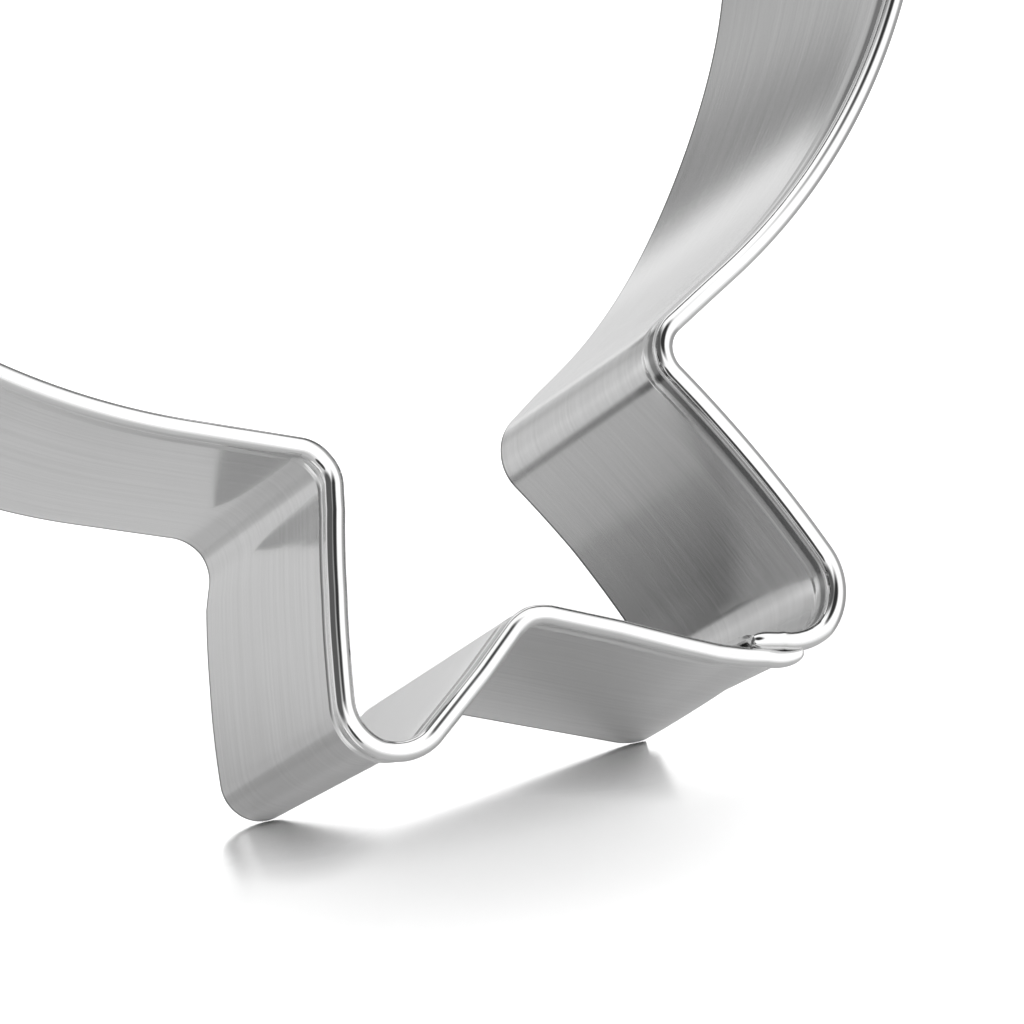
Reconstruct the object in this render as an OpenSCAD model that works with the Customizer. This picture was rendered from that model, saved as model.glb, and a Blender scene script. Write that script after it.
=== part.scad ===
// Strip cookie cutter with a round body and a short notched tail.
// One steel strip stands on edge and is bent round the outline. Its lower edge cuts, its upper edge
// is rolled outwards into a bead with a short hem, and its two ends lap at the right tail tip.
// The cutter lies flat: the cutting edge is at z = 0, the rolled rim is up, and the tail points to -Y.

/* [Strip] */
// Depth of the strip, from the cutting edge to the top of the rolled rim
strip_depth = 25; // [15:0.5:40]
// Thickness of the steel
strip_t = 0.35; // [0.25:0.01:0.5]

/* [Rolled rim] */
// Outside diameter of the rolled bead along the rim
bead_d = 1.15; // [1:0.01:1.6]
// Height of the hem, from the top of the bead down to its free edge
hem_h = 2.6; // [1.8:0.1:5]
// Gap that stays between the hem's free edge and the wall
hem_gap = 0.03; // [0.01:0.01:0.1]

/* [Round body] */
// Radius of the round body, to the middle of the steel
body_r = 41; // [30:0.5:60]

/* [Neck] */
// Angle from the body's lowest point to where its round ends and the run to the left neck starts
left_neck_angle = 25.7; // [23:0.1:28]
// The same angle for the right neck
right_neck_angle = 23.4; // [21:0.1:26]
// Length of the straight run from the end of the body's round to the left neck
left_neck_run = 6.2; // [4.5:0.1:7.5]
// Length of the straight run from the end of the body's round to the right neck
right_neck_run = 5; // [3.5:0.1:6.5]
// Radius of the two inside corners between the body and the tail
neck_r = 2.65; // [2:0.05:3.5]

/* [Left half of the tail] */
// Distance of the left tip's centre from the middle line
left_tip_x = 12.6; // [11.5:0.1:14]
// How far the left tip's centre lies below the body
left_tip_drop = 14.1; // [13:0.1:20]
// Radius of the left tip
left_tip_r = 2.25; // [1.5:0.05:2.6]
// Radius of the bulging left side of the tail
left_side_r = 58; // [35:1:120]

/* [Right half of the tail] */
// Distance of the right tip's centre from the middle line
right_tip_x = 12; // [11:0.1:13.5]
// How far the right tip's centre lies below the body
right_tip_drop = 15.4; // [14:0.1:20]
// Radius of the right tip
right_tip_r = 3; // [2.6:0.05:3.8]
// Radius of the bulging right side of the tail
right_side_r = 79; // [50:1:150]

/* [Notch in the tail] */
// Distance of the notch from the middle line, towards the left
notch_x = 3.3; // [2:0.1:4]
// How far the centre of the notch's rounded top lies below the body
notch_drop = 15.4; // [14.5:0.1:16.5]
// Radius of the notch's rounded top
notch_r = 3.05; // [2.2:0.05:4]

/* [Lap seam] */
// Clearance between the two beads where they lie side by side
lap_gap = 0.03; // [0.01:0.01:0.2]
// Length of the inner end, past the end of its bend round the right tip
inner_end_l = 2.2; // [1.8:0.1:4]
// Angle by which the outer end follows the bend of the right tip
outer_end_angle = 43; // [20:1:50]
// Diameter of one spot weld
weld_d = 1.4; // [0.8:0.1:1.6]
// Height of the lowest spot weld's centre above the cutting edge
weld_first_z = 4; // [2:0.5:6]
// Distance between spot welds up the seam
weld_pitch = 6.5; // [3:0.5:8]
// Number of spot welds in the seam
weld_count = 3; // [2:1:3]

/* [Hidden] */
$fn = 96;
bead_r = bead_d / 2;
// The middle of the bead lies outside the wall's middle line, so that its inner side carries on the wall
bead_u = bead_r - strip_t / 2;
bead_z = strip_depth - bead_r;
hem_z = strip_depth - hem_h;
hem_foot = strip_t / 2 + hem_gap;
// Furthest that the rim reaches outside the wall's middle line
rim_out = bead_u + bead_r;
// Distance between the two laps, middle of steel to middle of steel
lap = bead_d + lap_gap;
// Each tight bend is a hair fuller than the runs on its two sides and reaches a little way into them,
// so that the pieces of the strip join without two faces that lie in nearly one place
bend_extra = 0.005;
bend_reach = 0.1;
// Flats that stand for the round of the bead, each under 0.01 mm from the true round
bead_sides = 10;

// Points and directions in the plan of the cutter
function polar(r, a) = [r * cos(a), r * sin(a)];
function heading(v) = atan2(v[1], v[0]);
// The angle a, turned by whole turns until it lies from low up to a turn above low
function above(a, low) = a - 360 * floor((a - low) / 360);
// One of the two points that lie r0 from c0 and r1 from c1, the one to the left of the line c0 to c1
function meeting(c0, r0, c1, r1) =
    let (d = c1 - c0, l = norm(d), along = (l * l + r0 * r0 - r1 * r1) / (2 * l))
    c0 + along * d / l + sqrt(r0 * r0 - along * along) * [-d[1], d[0]] / l;
// Direction from c0 to the point where a line that crosses between circles c0 and c1 leaves c0
function crossing(c0, r0, c1, r1) =
    heading(c1 - c0) + acos((r0 + r1) / norm(c1 - c0));

// The plan is drawn about the middle of the round body, and the right half is worked out directly.
// The left half is worked out the same way in the mirror, and its bends are drawn mirrored.
body_c = [0, 0];
right_neck_c = polar(body_r + neck_r, right_neck_angle - 90) - polar(right_neck_run, right_neck_angle);
left_neck_c = polar(body_r + neck_r, left_neck_angle - 90) - polar(left_neck_run, left_neck_angle);
right_run_from = polar(body_r, right_neck_angle - 90);
left_run_from = polar(body_r, left_neck_angle - 90);
right_tip_c = [right_tip_x, -body_r - right_tip_drop];
left_tip_c = [left_tip_x, -body_r - left_tip_drop];
right_notch_c = [-notch_x, -body_r - notch_drop];
left_notch_c = [notch_x, -body_r - notch_drop];
right_side_c = meeting(right_tip_c, right_side_r - right_tip_r, right_neck_c, right_side_r + neck_r);
left_side_c = meeting(left_tip_c, left_side_r - left_tip_r, left_neck_c, left_side_r + neck_r);
// The outer lap leaves the notch on a line that clears the inner lap, which turns on the tip's own radius
outer_tip_r = right_tip_r + lap;
right_leg_a = crossing(right_notch_c, notch_r, right_tip_c, outer_tip_r);
left_leg_a = crossing(left_notch_c, notch_r, left_tip_c, left_tip_r);
right_leg_from = right_notch_c + polar(notch_r, right_leg_a);
right_leg_to = right_tip_c - polar(outer_tip_r, right_leg_a);
left_leg_from = left_notch_c + polar(notch_r, left_leg_a);
left_leg_to = left_tip_c - polar(left_tip_r, left_leg_a);
inner_end_from = right_tip_c - polar(right_tip_r, right_leg_a);
inner_end_to = inner_end_from + inner_end_l * (right_leg_from - right_leg_to) / norm(right_leg_from - right_leg_to);

// The lowest point of the rim is at the left tip, or at the right tip where its outer lap ends
outer_end_a = right_leg_a - 180 + outer_end_angle;
right_low = right_tip_c[1] + (outer_tip_r + rim_out) * sin(min(outer_end_a, -90));
left_low = left_tip_c[1] - left_tip_r - rim_out;
// The origin is the middle of the box round the cutter, on the cutting edge's plane
middle_y = (body_r + rim_out + min(left_low, right_low)) / 2;

// Points round the middle of the bead at distance r, from angle a0 to a1
function bead_arc(r, a0, a1) = [
    for (i = [0 : bead_sides])
        [bead_u, bead_z] + polar(r, a0 + (a1 - a0) * i / bead_sides)
];

// The strip cut across: the wall on edge, the rolled bead on top and the hem that comes down outside it
module strip_section(extra) {
    half = strip_t / 2 + extra;
    polygon(concat(
        [[-half, 0]],
        bead_arc(bead_r + extra, 180, 0),
        [[hem_foot + strip_t + extra, hem_z - extra], [hem_foot - extra, hem_z - extra]],
        bead_arc(bead_r - strip_t - extra, 0, 180),
        [[half, 0]]
    ));
}

// A straight run of the strip, with the outside of the cutter to the left of its way from p to q
module straight_run(p, q) {
    translate(p) rotate(heading(q - p) + 90) rotate([90, 0, 0])
        linear_extrude(height = norm(q - p)) strip_section(0);
}

// A straight run of length l from p in the direction a, with the outside of the cutter to its left. It is
// fuller than a bend, so that the bend at its far end and the curve behind p both end inside it.
module joining_run(p, a, l) {
    translate(p - polar(bend_reach, a)) rotate(a + 90) rotate([90, 0, 0])
        linear_extrude(height = l + bend_reach) strip_section(2 * bend_extra);
}

// A wide curve of the strip about c, from angle a0 round to a1, with the outside of the cutter outwards
module curved_run(c, r, a0, a1) {
    translate(c) rotate(a0) rotate_extrude(angle = above(a1, a0) - a0)
        translate([r, 0]) strip_section(0);
}

// A tight bend about c, with the outside of the cutter outwards
module outward_bend(c, r, a0, a1) {
    reach = bend_reach / r * 180 / PI;
    translate(c) rotate(a0 - reach) rotate_extrude(angle = above(a1, a0) - a0 + 2 * reach)
        translate([r, 0]) strip_section(bend_extra);
}

// The same, with the outside of the cutter towards the bend's centre
module inward_bend(c, r, a0, a1) {
    reach = bend_reach / r * 180 / PI;
    translate(c) rotate(a0 - reach) rotate_extrude(angle = above(a1, a0) - a0 + 2 * reach)
        translate([r, 0]) mirror([1, 0]) strip_section(bend_extra);
}

module cutter_band() {
    color("silver") translate([0, -middle_y, 0]) {
        // The round body, and the straight runs from its two ends to the necks
        curved_run(body_c, body_r, right_neck_angle - 90, 270 - left_neck_angle);
        joining_run(right_run_from, right_neck_angle + 180, right_neck_run);
        mirror([1, 0]) joining_run(left_run_from, left_neck_angle + 180, left_neck_run);
        // The right side of the tail, round its tip to the strip's inner end
        inward_bend(right_neck_c, neck_r, right_neck_angle + 90, heading(right_side_c - right_neck_c));
        curved_run(right_side_c, right_side_r, heading(right_tip_c - right_side_c),
            heading(right_neck_c - right_side_c));
        outward_bend(right_tip_c, right_tip_r, right_leg_a - 180, heading(right_tip_c - right_side_c));
        straight_run(inner_end_from, inner_end_to);
        // The left side of the tail, round its tip to the notch
        mirror([1, 0]) inward_bend(left_neck_c, neck_r, left_neck_angle + 90,
            heading(left_side_c - left_neck_c));
        mirror([1, 0]) curved_run(left_side_c, left_side_r, heading(left_tip_c - left_side_c),
            heading(left_neck_c - left_side_c));
        mirror([1, 0]) outward_bend(left_tip_c, left_tip_r, left_leg_a - 180, heading(left_tip_c - left_side_c));
        mirror([1, 0]) straight_run(left_leg_to, left_leg_from);
        // The notch, the right leg and the strip's outer end, outside the lap
        inward_bend(right_notch_c, notch_r, right_leg_a, 180 - left_leg_a);
        straight_run(right_leg_to, right_leg_from);
        outward_bend(right_tip_c, outer_tip_r, right_leg_a - 180, outer_end_a);
    }
}

// Each weld fills the gap between the two laps, square to the leg
module seam_spot_welds() {
    weld_p = (inner_end_from + inner_end_to) / 2;
    out = polar(1, right_leg_a - 180);
    color("lightgray") translate([0, -middle_y, 0])
        for (i = [0 : weld_count - 1])
            translate([weld_p[0], weld_p[1], weld_first_z + i * weld_pitch])
                rotate(heading(out)) rotate([0, 90, 0])
                    translate([0, 0, strip_t / 2]) cylinder(d = weld_d, h = lap - strip_t);
}

cutter_band();
seam_spot_welds();
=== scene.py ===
"""Round strip cookie cutter with a notched tail, standing tilted on its tail tips on a pale floor."""
import math
import bpy
import numpy as np
from mathutils import Matrix, Vector


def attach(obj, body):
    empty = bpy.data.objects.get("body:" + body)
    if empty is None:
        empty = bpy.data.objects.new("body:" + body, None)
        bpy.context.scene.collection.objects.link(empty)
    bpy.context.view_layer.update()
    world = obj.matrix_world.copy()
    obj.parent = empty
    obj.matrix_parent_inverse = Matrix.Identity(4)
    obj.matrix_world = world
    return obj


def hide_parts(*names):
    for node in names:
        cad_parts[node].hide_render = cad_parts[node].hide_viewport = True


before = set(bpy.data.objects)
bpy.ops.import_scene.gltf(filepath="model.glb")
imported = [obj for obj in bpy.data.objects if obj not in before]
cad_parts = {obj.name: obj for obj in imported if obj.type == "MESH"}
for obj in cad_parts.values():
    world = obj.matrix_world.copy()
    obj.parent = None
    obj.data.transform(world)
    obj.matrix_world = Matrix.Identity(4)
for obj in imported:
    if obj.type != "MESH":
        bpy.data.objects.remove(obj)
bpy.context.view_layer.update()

MM = 0.001

# The strip's path, in mm

DEPTH = 25.0
STEEL = 0.35
BEAD_R = 0.575
LAP_GAP = 0.03
BEAD_U = BEAD_R - STEEL / 2
BEAD_Z = DEPTH - BEAD_R
RIM_OUT = BEAD_U + BEAD_R
BODY_R = 41.0
NECK_R = 2.65
LAP = 2 * BEAD_R + LAP_GAP


def polar(distance, angle):
    """Point at a distance from the origin and an angle in degrees."""
    return distance * np.array([math.cos(math.radians(angle)), math.sin(math.radians(angle))])


def heading(vector):
    """Angle of a vector, in degrees."""
    return math.degrees(math.atan2(vector[1], vector[0]))


def meeting(c0, r0, c1, r1):
    """The point that lies r0 from c0 and r1 from c1, to the left of the line c0 to c1."""
    gap = c1 - c0
    length = np.linalg.norm(gap)
    along = (length * length + r0 * r0 - r1 * r1) / (2 * length)
    aside = math.sqrt(r0 * r0 - along * along)
    return c0 + along * gap / length + aside * np.array([-gap[1], gap[0]]) / length


def crossing(c0, r0, c1, r1):
    """Direction from c0 to where a line that crosses between circles c0 and c1 leaves c0."""
    return heading(c1 - c0) + math.degrees(math.acos((r0 + r1) / np.linalg.norm(c1 - c0)))


class Half:
    """One half of the tail, worked out on the right; the left one is mirrored afterwards."""

    def __init__(self, neck_angle, neck_run, tip, tip_r, side_r, notch, notch_r, lap):
        self.neck_angle = neck_angle
        self.run_from = polar(BODY_R, neck_angle - 90)
        self.run_to = self.run_from - polar(neck_run, neck_angle)
        self.neck_c = polar(BODY_R + NECK_R, neck_angle - 90) - polar(neck_run, neck_angle)
        self.tip_c, self.tip_r, self.side_r = np.array(tip), tip_r, side_r
        self.notch_c = np.array(notch)
        self.side_c = meeting(self.tip_c, side_r - tip_r, self.neck_c, side_r + NECK_R)
        self.outer_r = tip_r + lap
        self.leg_a = crossing(self.notch_c, notch_r, self.tip_c, self.outer_r)
        self.neck_from = neck_angle + 90
        self.neck_to = heading(self.side_c - self.neck_c)
        self.side_low = heading(self.tip_c - self.side_c)
        self.side_high = heading(self.neck_c - self.side_c)


NOTCH_R = 3.05
RIGHT = Half(neck_angle=23.4, neck_run=5.0, tip=(12.0, -56.4), tip_r=3.0, side_r=79.0,
             notch=(-3.3, -56.4), notch_r=NOTCH_R, lap=LAP)
LEFT = Half(neck_angle=25.7, neck_run=6.2, tip=(12.6, -55.1), tip_r=2.25, side_r=58.0,
            notch=(3.3, -56.4), notch_r=NOTCH_R, lap=0.0)
# The inner end's straight length along the right leg, and how far the outer end goes round the tip
INNER_END = 2.2
OUTER_ANGLE = 37.0


# Greatest length of a step along the path, in mm: at the strip's ends, in the bends, and elsewhere
END_STEP, BEND_STEP, LONG_STEP = 0.06, 0.12, 0.5


def arc(centre, radius, start, end, ccw, step):
    """Points and outward normals along an arc; outward is to the right of the way along the strip."""
    if ccw:
        while end < start:
            end += 360
    else:
        while end > start:
            end -= 360
    count = max(6, int(abs(end - start) * math.pi / 180 * radius / step) + 1)
    angles = np.radians(np.linspace(start, end, count + 1))
    radial = np.c_[np.cos(angles), np.sin(angles)]
    return centre + radius * radial, radial if ccw else -radial


def line(start, end, step):
    """Points and outward normals along a straight run."""
    length = np.linalg.norm(end - start)
    way = (end - start) / length
    count = max(2, int(length / step) + 1)
    share = np.linspace(0, 1, count + 1)[:, None]
    return start + (end - start) * share, np.tile([way[1], -way[0]], (count + 1, 1))


def flip(angle):
    """A direction on the right half, in degrees, mirrored to the left half."""
    return 180 - angle


def strip_path():
    """The strip from its inner end, round the cutter, to its outer end.

    Returns the points, their outward normals and, by name, the first and last point of each run.
    """
    right, left = RIGHT, LEFT
    mirror = np.array([-1, 1])
    leg_from = right.notch_c + polar(NOTCH_R, right.leg_a)
    leg_to = right.tip_c - polar(right.outer_r, right.leg_a)
    leg = (leg_from - leg_to) / np.linalg.norm(leg_from - leg_to)
    inner = right.tip_c - polar(right.tip_r, right.leg_a)
    left_leg_from = (left.notch_c + polar(NOTCH_R, left.leg_a)) * mirror
    left_leg_to = (left.tip_c - polar(left.tip_r, left.leg_a)) * mirror
    tip_start = right.leg_a - 180
    runs = [
        ("inner_end", line(inner + INNER_END * leg, inner, END_STEP)),
        ("right_tip", arc(right.tip_c, right.tip_r, tip_start, right.side_low, True, BEND_STEP)),
        ("right_side", arc(right.side_c, right.side_r, right.side_low, right.side_high, True, LONG_STEP)),
        ("right_neck", arc(right.neck_c, NECK_R, right.neck_to, right.neck_from, False, BEND_STEP)),
        ("right_run", line(right.run_to, right.run_from, LONG_STEP)),
        ("body", arc(np.zeros(2), BODY_R, right.neck_angle - 90, 270 - left.neck_angle, True, LONG_STEP)),
        ("left_run", line(left.run_from * mirror, left.run_to * mirror, LONG_STEP)),
        ("left_neck", arc(left.neck_c * mirror, NECK_R, flip(left.neck_from), flip(left.neck_to),
                          False, BEND_STEP)),
        ("left_side", arc(left.side_c * mirror, left.side_r, flip(left.side_high), flip(left.side_low),
                          True, LONG_STEP)),
        ("left_tip", arc(left.tip_c * mirror, left.tip_r, flip(left.side_low), flip(left.leg_a - 180),
                         True, BEND_STEP)),
        ("left_leg", line(left_leg_to, left_leg_from, LONG_STEP)),
        ("notch", arc(right.notch_c, NOTCH_R, flip(left.leg_a), right.leg_a, False, BEND_STEP)),
        ("right_leg", line(leg_from, leg_to, LONG_STEP)),
        ("outer_end", arc(right.tip_c, right.outer_r, tip_start, tip_start + OUTER_ANGLE, True, END_STEP)),
    ]
    points, normals, marks = [], [], {}
    for name, (run_points, run_normals) in runs:
        skip = 1 if points else 0
        start = sum(len(run) for run in points) - skip
        points.append(run_points[skip:])
        normals.append(run_normals[skip:])
        marks[name] = (start, start + len(run_points) - 1)
    points, normals = np.vstack(points), np.vstack(normals)
    normals /= np.linalg.norm(normals, axis=1)[:, None]
    return points, normals, marks


PATH, NORMAL, MARK = strip_path()
STATION = np.r_[0, np.cumsum(np.linalg.norm(np.diff(PATH, axis=0), axis=1))]
OUTER_END_A = min(RIGHT.leg_a - 180 + OUTER_ANGLE, -90)
RIGHT_LOW = RIGHT.tip_c[1] + (RIGHT.outer_r + RIM_OUT) * math.sin(math.radians(OUTER_END_A))
LEFT_LOW = LEFT.tip_c[1] - LEFT.tip_r - RIM_OUT
MIDDLE_Y = (BODY_R + RIM_OUT + min(RIGHT_LOW, LEFT_LOW)) / 2


def at_mark(name, share):
    """Distance along the strip at a share of the named run."""
    a, b = MARK[name]
    return STATION[a] + share * (STATION[b] - STATION[a])


def body_at(angle):
    """Distance along the strip at an angle round the body from its start at the right neck."""
    return at_mark("body", 0) + math.radians(angle) * BODY_R


def body_before(angle):
    """Distance along the strip at an angle round the body before its end at the left neck."""
    return at_mark("body", 1) - math.radians(angle) * BODY_R


# A hand-bent strip isn't square: places along it, with how far its cutting edge and its rim stand
# outside the plan's line there, in mm
STANCE = [
    (0.0, -0.18, 0.16), (at_mark("right_tip", 0.0), -0.20, -0.17),
    (at_mark("right_tip", 0.4), -0.28, 0.18),
    (at_mark("right_side", 0.15), -0.33, 0.18), (at_mark("right_side", 0.6), -0.10, 0.14),
    (at_mark("right_neck", 0.5), -0.08, 0.08), (at_mark("right_run", 0.5), -0.30, 0.20),
    (body_at(51.8), -0.30, 1.43), (body_at(104.5), -0.30, 0.60), (body_at(194.5), -0.20, 0.20),
    (body_before(0.0), -0.20, 0.27), (at_mark("left_neck", 0.5), -0.22, 0.34),
    (at_mark("left_side", 0.12), 0.06, 0.05), (at_mark("left_side", 0.5), -0.06, 0.05),
    (at_mark("left_side", 0.8), -0.06, 0.20), (at_mark("left_tip", 0.5), -0.06, 0.50),
    (at_mark("left_leg", 0.6), -0.12, 0.10), (at_mark("notch", 0.5), -0.16, -0.38),
    (at_mark("right_leg", 0.3), -0.18, -0.25), (at_mark("right_leg", 0.6), -0.18, 0.00),
    (at_mark("right_leg", 0.75), -0.18, 0.08), (at_mark("right_leg", 0.87), -0.18, 0.00),
    (at_mark("right_leg", 1), -0.18, -0.18),
]
# The cutting edge is also pushed in on the right of the body: depth in mm, middle and reach in degrees
DENT, DENT_AT, DENT_REACH = 0.76, 23.0, 26.0


def dent(station):
    """How far the cutting edge is pushed in: depth * (1 + cos(pi * x)) / 2.

    x goes from -1 to 1 over the dent's reach.
    """
    angle = np.degrees((station - at_mark("body", 0)) / BODY_R)
    x = np.clip((angle - DENT_AT) / DENT_REACH, -1, 1)
    return DENT * (1 + np.cos(math.pi * x)) / 2


AT_EDGE = np.interp(STATION, [p[0] for p in STANCE], [p[1] for p in STANCE]) - dent(STATION)
AT_RIM = np.interp(STATION, [p[0] for p in STANCE], [p[2] for p in STANCE])
# The two ends of the strip are cut a little out of square: how far their tops stand back, over what
# length this fades, and what share of it the outer end's bead and foot have
INNER_SLANT, OUTER_SLANT, SLANT_OVER = 0.7, 2.7, 6.0
OUTER_BEAD_SHARE, OUTER_FOOT_SHARE = 0.33, 0.2
# The bead closes like a dome at both ends: the dome's length, how far its centre moves in and up, and
# the share of the bead's size that is left at the very end
INNER_DOME, OUTER_DOME = 1.2, 4.0
INNER_DOME_IN, OUTER_DOME_IN = 0.1, 0.57
INNER_DOME_UP, OUTER_DOME_UP = 0.0, 0.25
DOME_LEFT = 0.25
# Height from which the section's points belong to the bead, and how far out the hem's lip starts
BEAD_FROM = 23.9
LIP_FROM = STEEL / 2 + 0.02

# The strip's section, in mm


def section():
    """Outline of the strip cut across, as (outward, up).

    It goes from the inner foot up the wall, over the bead, down the hem to its lip, and down the outer
    side of the wall.
    """
    half = STEEL / 2
    points = [(-half + 0.05, 0.0), (-half, 0.05)]
    points += [(-half, z) for z in (4.0, 8.0, 12.0, 16.0, 20.0, 22.55)]
    points += [(-half + 0.01, 22.68), (-half + 0.06, 22.80), (-half + 0.085, 22.95),
               (-half + 0.09, 23.4), (-half + 0.10, 23.85), (-half + 0.115, 24.0)]
    for angle in np.radians(np.arange(212, -41, -9.0)):
        points.append((BEAD_U + BEAD_R * math.cos(angle), BEAD_Z + BEAD_R * math.sin(angle)))
    points += [(0.74, 23.82), (0.62, 23.55), (0.575, 23.2), (0.56, 22.85), (0.58, 22.72),
               (0.66, 22.58), (0.69, 22.50), (0.67, 22.43), (0.60, 22.40), (0.25, 22.41), (half, 22.43)]
    points += [(half, z) for z in (20.0, 16.0, 12.0, 8.0, 4.0)]
    points += [(half, 0.05), (half - 0.05, 0.0)]
    return np.array(points)


SECTION = section()
# Units of the two UV maps in mm, and where the second one has the middle of the steel
UV_UNIT, ACROSS_UNIT = 100, 10
ACROSS_MIDDLE = 0.5
# The least angle of an edge that stays sharp, in degrees
SHARP_FROM = 28


def band_mesh():
    """The strip swept along its path as one closed skin: vertices in m, and faces.

    A point of the section at (u, z) stands at path(s) + (u + edge * (1 - z/D) + rim * z/D) * normal(s),
    where s is the station, set back near the strip's ends by slant * z/D. Near the two ends the bead
    closes like a dome: its points shrink towards the bead's centre by left + (1 - left) * sqrt(1 - x^2),
    with x from 0 at the dome's start to 1 at the very end.
    """
    n, k = len(PATH), len(SECTION)
    u, z = SECTION[:, 0], SECTION[:, 1]
    is_bead = z > BEAD_FROM
    is_lip = (u > LIP_FROM) & ~is_bead
    at_inner = (STATION < STATION[-1] / 2)[:, None]
    to_end = np.minimum(STATION, STATION[-1] - STATION)[:, None]

    x = np.clip(1 - to_end / np.where(at_inner, INNER_DOME, OUTER_DOME), 0, 1)
    size = DOME_LEFT + (1 - DOME_LEFT) * np.sqrt(1 - x * x)
    move_in = (1 - size) * np.where(at_inner, INNER_DOME_IN, OUTER_DOME_IN)
    move_up = (1 - size) * np.where(at_inner, INNER_DOME_UP, OUTER_DOME_UP)
    out = np.where(is_bead, BEAD_U + size * (u - BEAD_U) - move_in, u)
    out = np.where(is_lip, STEEL / 2 + size * size * (u - STEEL / 2), out)
    up = np.where(is_bead, BEAD_Z + size * (z - BEAD_Z) + move_up, z)

    high = up / DEPTH
    slant = np.where(at_inner, INNER_SLANT, -OUTER_SLANT) * np.clip(1 - to_end / SLANT_OVER, 0, 1)
    outer_wall = OUTER_FOOT_SHARE + (1 - OUTER_FOOT_SHARE) * high
    outer_share = np.where(is_bead, OUTER_BEAD_SHARE, outer_wall)
    at = STATION[:, None] + slant * np.where(at_inner, high, outer_share)
    off = out + AT_EDGE[:, None] * (1 - high) + AT_RIM[:, None] * high
    co = [np.interp(at, STATION, PATH[:, axis]) + off * np.interp(at, STATION, NORMAL[:, axis])
          for axis in (0, 1)]
    verts = np.stack([co[0], co[1] - MIDDLE_Y, up], axis=2).reshape(-1, 3) * MM

    here, after = np.arange(k), (np.arange(k) + 1) % k
    row = np.arange(n - 1)[:, None] * k
    quads = np.stack([row + here, row + k + here, row + k + after, row + after], axis=2)
    ends = [here.tolist(), ((n - 1) * k + here[::-1]).tolist()]
    return verts, quads.reshape(-1, 4).tolist() + ends


def build_band():
    """Makes the band with the two UV maps that the steel's material reads."""
    verts, faces = band_mesh()
    mesh = bpy.data.meshes.new("steel_band")
    mesh.from_pydata(verts.tolist(), [], faces)
    mesh.validate()
    k = len(SECTION)
    along = np.repeat(STATION, k) / UV_UNIT
    height = np.tile(SECTION[:, 1], len(PATH)) / UV_UNIT
    out = np.tile(SECTION[:, 0], len(PATH)) / ACROSS_UNIT + ACROSS_MIDDLE
    corner = np.zeros(len(mesh.loops), int)
    mesh.loops.foreach_get("vertex_index", corner)
    for name, first, second in (("strip", along, height), ("across", out, height)):
        uv = mesh.uv_layers.new(name=name)
        uv.data.foreach_set("uv", np.c_[first, second][corner].ravel())
    piece = bpy.data.objects.new("steel_band", mesh)
    bpy.context.scene.collection.objects.link(piece)
    mesh.shade_smooth()
    mesh.set_sharp_from_angle(angle=math.radians(SHARP_FROM))
    return piece


band = build_band()
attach(band, "root")
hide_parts("cutter_band")

# Materials

# Streaks: how many along and across the strip per UV_UNIT mm, and their detail, and the range of the mix
STREAKS = {"Fine": (14.0, 1500.0, 3.0), "Broad": (5.0, 220.0, 4.0)}
STREAK_RANGE = (0.3, 0.7)
WALL_ROUGH, STREAK_ROUGH, BEAD_ROUGH = 0.12, 0.06, 0.07
DULL_STEEL = (0.57, 0.57, 0.57, 1)
BRIGHT_STEEL = (0.67, 0.67, 0.67, 1)
# Tone of the painted shade under the bead and of the painted dark reflection at the cutting edge
PAINTED_DARK_TONE = (0.20, 0.20, 0.20, 1)
# Heights in mm over which the bead's polish starts, the painted shade line under it starts and ends, and
# the painted dark reflection at the foot ends; how far the shade line's lower side sways; and how far out,
# in mm, the inner side of the wall ends
BEAD_POLISH = (23.85, 23.95)
SHADE_LINE_LOW, SHADE_LINE_HIGH = (23.45, 23.85), (23.95, 24.05)
# The foot's dark band is a painted dark reflection along the cutting edge
PAINTED_DARK_FOOT = (0.22, 0.34)
SHADE_LINE_SWAY = 0.8
INSIDE = (-0.08, 0.0)
# Strength of the streaks' relief, and its height in m
BUMP, BUMP_HEIGHT = 0.15, 0.00002
WELD_TONE, WELD_ROUGH = (0.5, 0.5, 0.5, 1), 0.5
# Where a Mix node keeps its two inputs and its output, for each kind of data
MIX_SOCKETS = {"FLOAT": (2, 3, 0), "RGBA": (6, 7, 2)}


def new_group(name, inputs, outputs):
    """An empty shader node group with its sockets: (group, input node, output node)."""
    group = bpy.data.node_groups.new(name, "ShaderNodeTree")
    for socket, kind in inputs:
        group.interface.new_socket(socket, in_out="INPUT", socket_type=kind)
    for socket, kind in outputs:
        group.interface.new_socket(socket, in_out="OUTPUT", socket_type=kind)
    return group, group.nodes.new("NodeGroupInput"), group.nodes.new("NodeGroupOutput")


def feed(tree, value, socket):
    """Gives a socket a plain value, or a link from another socket."""
    if isinstance(value, bpy.types.NodeSocket):
        tree.links.new(value, socket)
    else:
        socket.default_value = value


def math_node(tree, operation, *values):
    """Output of a Math node on sockets or plain numbers."""
    node = tree.nodes.new("ShaderNodeMath")
    node.operation = operation
    for value, socket in zip(values, node.inputs):
        feed(tree, value, socket)
    return node.outputs[0]


def blend(tree, kind, mask, below, above):
    """Output of a Mix node of a kind of data: below where the mask is 0, and above where it is 1."""
    mix = tree.nodes.new("ShaderNodeMix")
    mix.data_type = kind
    tree.links.new(mask, mix.inputs[0])
    first, second, output = MIX_SOCKETS[kind]
    feed(tree, below, mix.inputs[first])
    feed(tree, above, mix.inputs[second])
    return mix.outputs[output]


def map_range(tree, value, low, high, at_low, at_high):
    """Output of a Map Range node that goes smoothly from at_low at low to at_high at high."""
    node = tree.nodes.new("ShaderNodeMapRange")
    node.interpolation_type = "SMOOTHSTEP"
    tree.links.new(value, node.inputs["Value"])
    names = ("From Min", "From Max", "To Min", "To Max")
    for name, number in zip(names, (low, high, at_low, at_high)):
        node.inputs[name].default_value = number
    return node.outputs["Result"]


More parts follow.
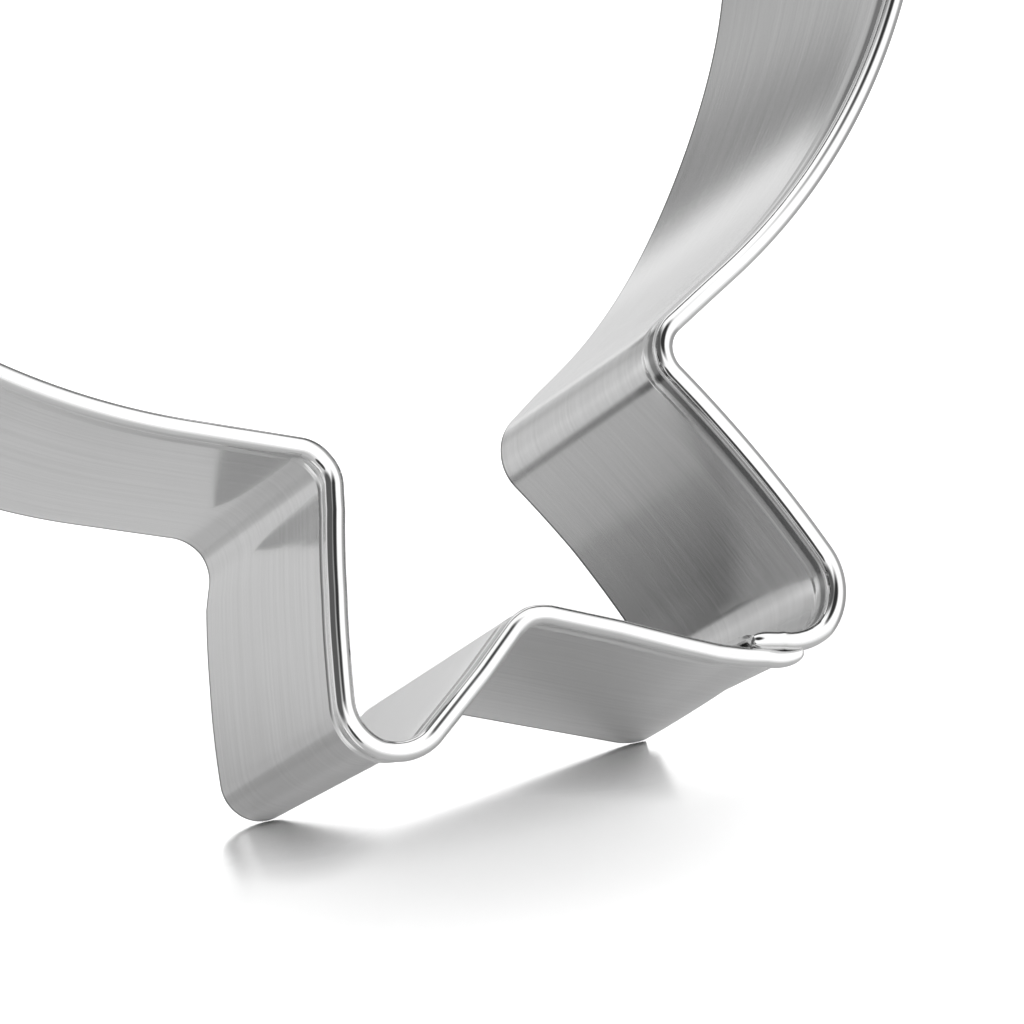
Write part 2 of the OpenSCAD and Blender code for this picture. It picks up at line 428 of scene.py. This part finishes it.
def ramp_up(tree, height, span):
    """0 below the span and 1 above it, for heights in UV_UNIT mm and a span in mm."""
    return map_range(tree, height, span[0] / UV_UNIT, span[1] / UV_UNIT, 0, 1)


def ramp_down(tree, height, span):
    """1 below the span and 0 above it, for heights in UV_UNIT mm and a span in mm."""
    return map_range(tree, height, span[0] / UV_UNIT, span[1] / UV_UNIT, 1, 0)


def dot_with(tree, vector, axis):
    """Dot product of a vector and a fixed axis."""
    node = tree.nodes.new("ShaderNodeVectorMath")
    node.operation = "DOT_PRODUCT"
    tree.links.new(vector, node.inputs[0])
    node.inputs[1].default_value = tuple(axis)
    return node.outputs["Value"]


def brushed_group():
    """Streaks along the strip: values from 0 to 1, fine across its height and long along its length."""
    group, given, result = new_group("rolled_streaks", [("Strip", "NodeSocketVector")],
                                     [("Fine", "NodeSocketFloat"), ("Broad", "NodeSocketFloat")])
    for name, (along, across, detail) in STREAKS.items():
        scale = group.nodes.new("ShaderNodeVectorMath")
        scale.operation = "MULTIPLY"
        scale.inputs[1].default_value = (along, across, 1)
        group.links.new(given.outputs["Strip"], scale.inputs[0])
        noise = group.nodes.new("ShaderNodeTexNoise")
        noise.inputs["Scale"].default_value = 1.0
        noise.inputs["Detail"].default_value = detail
        group.links.new(scale.outputs[0], noise.inputs["Vector"])
        group.links.new(noise.outputs["Fac"], result.inputs[name])
    return group


def uv_map(tree, name):
    """The map with this name, and its two parts: (vector, X, Y)."""
    node = tree.nodes.new("ShaderNodeUVMap")
    node.uv_map = name
    parts = tree.nodes.new("ShaderNodeSeparateXYZ")
    tree.links.new(node.outputs[0], parts.inputs[0])
    return node.outputs[0], parts.outputs["X"], parts.outputs["Y"]


def painted_shade_and_reflection(tree, height, out, broad):
    """Mask of the painted shade in a line under the bead on the inner side, with a swaying lower side, and
    of the painted dark reflection at the foot.
    """
    inside_from, inside_to = (ACROSS_MIDDLE + out_mm / ACROSS_UNIT for out_mm in INSIDE)
    inside = map_range(tree, out, inside_from, inside_to, 1, 0)
    sway = math_node(tree, "MULTIPLY", broad, SHADE_LINE_SWAY / UV_UNIT)
    shade_low = ramp_up(tree, math_node(tree, "ADD", height, sway), SHADE_LINE_LOW)
    shade_high = ramp_down(tree, height, SHADE_LINE_HIGH)
    # Painted shade in a line under the bead, on the inner side only
    painted_bead_shade = math_node(tree, "MULTIPLY", math_node(tree, "MULTIPLY", shade_low, shade_high), inside)
    # Adds the painted dark reflection along the foot
    return math_node(tree, "MAXIMUM", painted_bead_shade, ramp_down(tree, height, PAINTED_DARK_FOOT))


def steel_material():
    """Stainless steel, brushed along the strip, with a smoother bead.

    It has painted shade in a line under the bead on the inside, and a painted dark reflection at the
    cutting edge.

    The UV map "strip" holds (distance along the strip, height) in units of UV_UNIT mm, and the first part
    of "across" is ACROSS_MIDDLE plus the distance out from the steel's middle in units of ACROSS_UNIT mm.
    """
    material = bpy.data.materials.new("stainless_strip")
    material.use_nodes = True
    tree = material.node_tree
    bsdf = tree.nodes["Principled BSDF"]
    bsdf.inputs["Metallic"].default_value = 1.0
    strip, _, height = uv_map(tree, "strip")
    _, out, _ = uv_map(tree, "across")
    streak = tree.nodes.new("ShaderNodeGroup")
    streak.node_tree = brushed_group()
    tree.links.new(strip, streak.inputs["Strip"])
    fine, broad = streak.outputs["Fine"], streak.outputs["Broad"]

    wall_rough = math_node(tree, "ADD", math_node(tree, "MULTIPLY", fine, STREAK_ROUGH), WALL_ROUGH)
    rough = blend(tree, "FLOAT", ramp_up(tree, height, BEAD_POLISH), wall_rough, BEAD_ROUGH)
    tree.links.new(rough, bsdf.inputs["Roughness"])

    mixed = math_node(tree, "ADD", math_node(tree, "MULTIPLY", fine, 0.5),
                      math_node(tree, "MULTIPLY", broad, 0.5))
    brightness = map_range(tree, mixed, *STREAK_RANGE, 0, 1)
    tone = blend(tree, "RGBA", brightness, DULL_STEEL, BRIGHT_STEEL)
    # Painted shade under the bead and a painted dark reflection at the cutting edge, mixed into the base
    # colour
    dark = painted_shade_and_reflection(tree, height, out, broad)
    tree.links.new(blend(tree, "RGBA", dark, tone, PAINTED_DARK_TONE), bsdf.inputs["Base Color"])

    bump = tree.nodes.new("ShaderNodeBump")
    bump.inputs["Strength"].default_value = BUMP
    bump.inputs["Distance"].default_value = BUMP_HEIGHT
    tree.links.new(fine, bump.inputs["Height"])
    tree.links.new(bump.outputs[0], bsdf.inputs["Normal"])
    return material


def weld_material():
    """Dull steel of the spot welds."""
    material = bpy.data.materials.new("weld_steel")
    material.use_nodes = True
    bsdf = material.node_tree.nodes["Principled BSDF"]
    bsdf.inputs["Metallic"].default_value = 1.0
    bsdf.inputs["Base Color"].default_value = WELD_TONE
    bsdf.inputs["Roughness"].default_value = WELD_ROUGH
    return material


band.data.materials.append(steel_material())
weld = weld_material()
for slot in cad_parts["seam_spot_welds"].material_slots:
    slot.material = weld

# Camera

# Focal length and picture in pixels, sensor in mm, and the nearest and farthest distance in m
FOCAL_PX, PICTURE_PX, SENSOR_MM = 5200, 1024, 36.0
CLIP_NEAR, CLIP_FAR = 0.01, 20
# The camera's place in mm and its directions, in the cutter's frame
CAM_AT = np.array([-123.2305, -77.8595 - MIDDLE_Y, 288.0543])
CAM_RIGHT = np.array([0.8615091, -0.3634444, 0.3545563])
CAM_DOWN = np.array([-0.2914444, -0.9257769, -0.2408261])
CAM_VIEW = np.array([0.415767, 0.1041404, -0.9034891])

cam_data = bpy.data.cameras.new("camera")
cam_data.sensor_width = SENSOR_MM
cam_data.lens = FOCAL_PX / PICTURE_PX * SENSOR_MM
cam_data.clip_start = CLIP_NEAR
cam_data.clip_end = CLIP_FAR
cam = bpy.data.objects.new("camera", cam_data)
bpy.context.scene.collection.objects.link(cam)
stand = np.eye(4)
stand[:3] = np.c_[CAM_RIGHT, -CAM_DOWN, -CAM_VIEW, CAM_AT * MM]
cam.matrix_world = Matrix(stand.tolist())
bpy.context.scene.camera = cam

# Floor

# A first guess at the floor's upward direction, and the number of rounds that settle it
UP_GUESS, UP_ROUNDS = np.array([0.0931, 0.7995, 0.5934]), 6


def floor_plane():
    """The floor touches the lowest corner of each tail tip and is level across the picture.

    Returns one touching point, the floor's upward normal, and the direction in the floor from the line
    through both touching points towards the camera.
    """
    verts, _ = band_mesh()
    rows = verts.reshape(len(PATH), len(SECTION), 3) / MM
    left = rows[slice(*MARK["left_tip"])].reshape(-1, 3)
    right = np.vstack([rows[slice(*MARK[name])] for name in ("right_leg", "outer_end")]).reshape(-1, 3)
    up = UP_GUESS
    for _ in range(UP_ROUNDS):
        a, b = left[(left @ up).argmin()], right[(right @ up).argmin()]
        up = np.cross(b - a, CAM_RIGHT)
        up = up / np.linalg.norm(up)
        up = up * np.sign(-(up @ CAM_DOWN))
    near = np.cross(up, b - a)
    near *= -np.sign(near @ CAM_VIEW) / np.linalg.norm(near)
    return a, up, near


FLOOR_AT, FLOOR_UP, FLOOR_NEAR = floor_plane()
# The studio's level directions: towards the camera, and to the right of it
TO_CAMERA = -CAM_VIEW
FRONT = TO_CAMERA - (TO_CAMERA @ FLOOR_UP) * FLOOR_UP
FRONT /= np.linalg.norm(FRONT)
SIDE = np.cross(FLOOR_UP, FRONT)


def towards(turn, rise):
    """Direction in the studio, turned from the camera's side to the right and raised from the floor.

    Both angles are in degrees.
    """
    turn, rise = math.radians(turn), math.radians(rise)
    level = math.cos(turn) * FRONT + math.sin(turn) * SIDE
    return math.cos(rise) * level + math.sin(rise) * FLOOR_UP


# What the polished steel mirrors: soft patches (direction, inner and outer angle, brightness), each laid
# over those before it. The overhead tone is under them all.
OVERHEAD = 1.7
PATCHES = [
    (towards(0, -90), 50, 95, 0.90),
    (towards(130, 5), 30, 50, 0.58),
    (towards(172, 12), 14, 34, 0.32),
    (towards(182, 25), 9, 14, 1.60),
    (towards(-75, 25), 25, 50, 0.15),
    (towards(-30, -9), 12, 18, 0.10),
    (towards(-5, 62), 14, 30, 0.05),
    (towards(-138, 5), 15, 30, 0.65),
    (towards(-154, -2), 1, 7, 0.36),
    (towards(-172, -17), 5, 16, 0.92),
    (towards(-137, -20), 4, 14, 0.90),
    (towards(-136, -49), 6, 15, 0.80),
    (towards(-120, -34), 4, 10, 1.00),
    (towards(-129, -39), 3, 7, 0.72),
    (towards(-86, -44), 12, 20, 1.70),
    (towards(-113, -43), 3, 8, 0.16),
]


def direction_mask(tree, direction, axis, inner, outer):
    """1 within inner degrees of the axis, 0 past outer degrees, smooth between."""
    low, high = math.cos(math.radians(outer)), math.cos(math.radians(inner))
    return map_range(tree, dot_with(tree, direction, axis / np.linalg.norm(axis)), low, high, 0, 1)


def studio_group():
    """Brightness of the studio in a direction, for mirrored rays."""
    group, given, result = new_group("studio_tone", [("Direction", "NodeSocketVector")],
                                     [("Value", "NodeSocketFloat")])
    direction = given.outputs["Direction"]
    value = OVERHEAD
    for axis, inner, outer, tone in PATCHES:
        value = blend(group, "FLOAT", direction_mask(group, direction, axis, inner, outer), value, tone)
    group.links.new(value, result.inputs["Value"])
    return group


STUDIO = studio_group()


def studio_tone(tree, direction):
    """The studio's brightness in a direction, in a material or the world."""
    tone = tree.nodes.new("ShaderNodeGroup")
    tone.node_tree = STUDIO
    tree.links.new(direction, tone.inputs["Direction"])
    return tone.outputs["Value"]


# The floor's tone to the camera and to dull rays
FLOOR_SEEN, FLOOR_DULL = 1.65, 0.8
# Its shine, and the distances in m from the line through the tips over which the shine fades
FLOOR_SHINE, SHINE_TONE, SHINE_ROUGH = 0.52, (1.25, 1.25, 1.25, 1), 0.2
SHINE_FROM, SHINE_TO = 0.001, 0.010
# The shade by the tips: its reach in m, the power that softens it, and its samples
CONTACT_SHADE, SHADE_POWER, SHADE_SAMPLES = 0.005, 0.7, 8
# The floor lies this far under the tips, in mm, and is this large from its middle, in m
FLOOR_DROP, FLOOR_HALF = 0.03, 1.6


def floor_material():
    """White to the camera, with a shade and a shine by the tips.

    Mirrored rays see the studio's tones in it.
    """
    material = bpy.data.materials.new("floor")
    material.use_nodes = True
    tree = material.node_tree
    tree.nodes.remove(tree.nodes["Principled BSDF"])
    path = tree.nodes.new("ShaderNodeLightPath")
    geometry = tree.nodes.new("ShaderNodeNewGeometry")
    turn = tree.nodes.new("ShaderNodeVectorMath")
    turn.operation = "SCALE"
    turn.inputs["Scale"].default_value = -1
    tree.links.new(geometry.outputs["Incoming"], turn.inputs[0])
    mirrored = studio_tone(tree, turn.outputs[0])
    seen = blend(tree, "FLOAT", path.outputs["Is Glossy Ray"], FLOOR_DULL, mirrored)

    shade = tree.nodes.new("ShaderNodeAmbientOcclusion")
    shade.inputs["Distance"].default_value = CONTACT_SHADE
    shade.samples = SHADE_SAMPLES
    open_share = math_node(tree, "POWER", shade.outputs["AO"], SHADE_POWER)
    to_camera = math_node(tree, "MULTIPLY", open_share, FLOOR_SEEN)
    seen = blend(tree, "FLOAT", path.outputs["Is Camera Ray"], seen, to_camera)
    grey = tree.nodes.new("ShaderNodeCombineColor")
    for socket in grey.inputs:
        tree.links.new(seen, socket)
    diffuse = tree.nodes.new("ShaderNodeBsdfDiffuse")
    tree.links.new(grey.outputs[0], diffuse.inputs["Color"])

    gloss = tree.nodes.new("ShaderNodeBsdfGlossy")
    gloss.inputs["Roughness"].default_value = SHINE_ROUGH
    gloss.inputs["Color"].default_value = SHINE_TONE
    place = tree.nodes.new("ShaderNodeTexCoord").outputs["Object"]
    tips_line = float(FLOOR_AT @ FLOOR_NEAR) * MM
    from_line = math_node(tree, "SUBTRACT", dot_with(tree, place, FLOOR_NEAR), tips_line)
    shine = map_range(tree, math_node(tree, "ABSOLUTE", from_line), SHINE_FROM, SHINE_TO, FLOOR_SHINE, 0)
    mix = tree.nodes.new("ShaderNodeMixShader")
    tree.links.new(math_node(tree, "MULTIPLY", path.outputs["Is Camera Ray"], shine), mix.inputs[0])
    tree.links.new(diffuse.outputs[0], mix.inputs[1])
    tree.links.new(gloss.outputs[0], mix.inputs[2])
    tree.links.new(mix.outputs[0], tree.nodes["Material Output"].inputs["Surface"])
    return material


def build_floor():
    """A large flat sheet just under the two tips."""
    side = np.cross(FLOOR_UP, CAM_VIEW)
    side /= np.linalg.norm(side)
    away = np.cross(side, FLOOR_UP)
    centre = (FLOOR_AT - FLOOR_DROP * FLOOR_UP) * MM
    signs = ((-1, -1), (1, -1), (1, 1), (-1, 1))
    corners = [centre + FLOOR_HALF * (x * side + y * away) for x, y in signs]
    mesh = bpy.data.meshes.new("floor")
    mesh.from_pydata([tuple(corner) for corner in corners], [], [(0, 1, 2, 3)])
    mesh.materials.append(floor_material())
    sheet = bpy.data.objects.new("floor", mesh)
    bpy.context.scene.collection.objects.link(sheet)
    return sheet


floor = build_floor()

# Light

# The world's light on dull surfaces, and its tone to the camera
DULL_LIGHT, WHITE = 0.85, 1.0
# The lamp's distance and size in m, its power in W, and the point of the tail that it looks at
LAMP_FAR, LAMP_SIZE, LAMP_POWER = 0.8, 0.35, 0.5
LAMP_LOOKS_AT = (0, -0.045, 0.012)
# The lamp stands this far to the left and beyond, for each 1 upwards from the floor
LAMP_LEFT, LAMP_BEYOND = 0.55, 0.25


def studio_world():
    """White to the camera, even light for dull surfaces, and the studio's patches for mirrored rays."""
    world = bpy.data.worlds.new("studio")
    bpy.context.scene.world = world
    world.use_nodes = True
    tree = world.node_tree
    background = tree.nodes["Background"]
    background.inputs["Color"].default_value = (1, 1, 1, 1)
    path = tree.nodes.new("ShaderNodeLightPath")
    mirrored = studio_tone(tree, tree.nodes.new("ShaderNodeTexCoord").outputs["Generated"])
    value = blend(tree, "FLOAT", path.outputs["Is Glossy Ray"], DULL_LIGHT, mirrored)
    value = blend(tree, "FLOAT", path.outputs["Is Camera Ray"], value, WHITE)
    tree.links.new(value, background.inputs["Strength"])


studio_world()


def softbox(name, axis, distance, size, power):
    """A square lamp that looks at the tail from a direction of the cutter's frame.

    The steel doesn't mirror it.
    """
    data = bpy.data.lights.new(name, "AREA")
    data.shape = "SQUARE"
    data.size = size
    data.energy = power
    lamp = bpy.data.objects.new(name, data)
    bpy.context.scene.collection.objects.link(lamp)
    axis = Vector(np.array(axis) / np.linalg.norm(axis))
    place = Matrix.Translation(Vector(LAMP_LOOKS_AT) + axis * distance)
    lamp.matrix_world = place @ axis.to_track_quat("Z", "Y").to_matrix().to_4x4()
    lamp.visible_glossy = False


key_side = FLOOR_UP - LAMP_LEFT * CAM_RIGHT + LAMP_BEYOND * CAM_VIEW
softbox("key_light", key_side, LAMP_FAR, LAMP_SIZE, LAMP_POWER)

bpy.context.scene.view_settings.view_transform = "Standard"
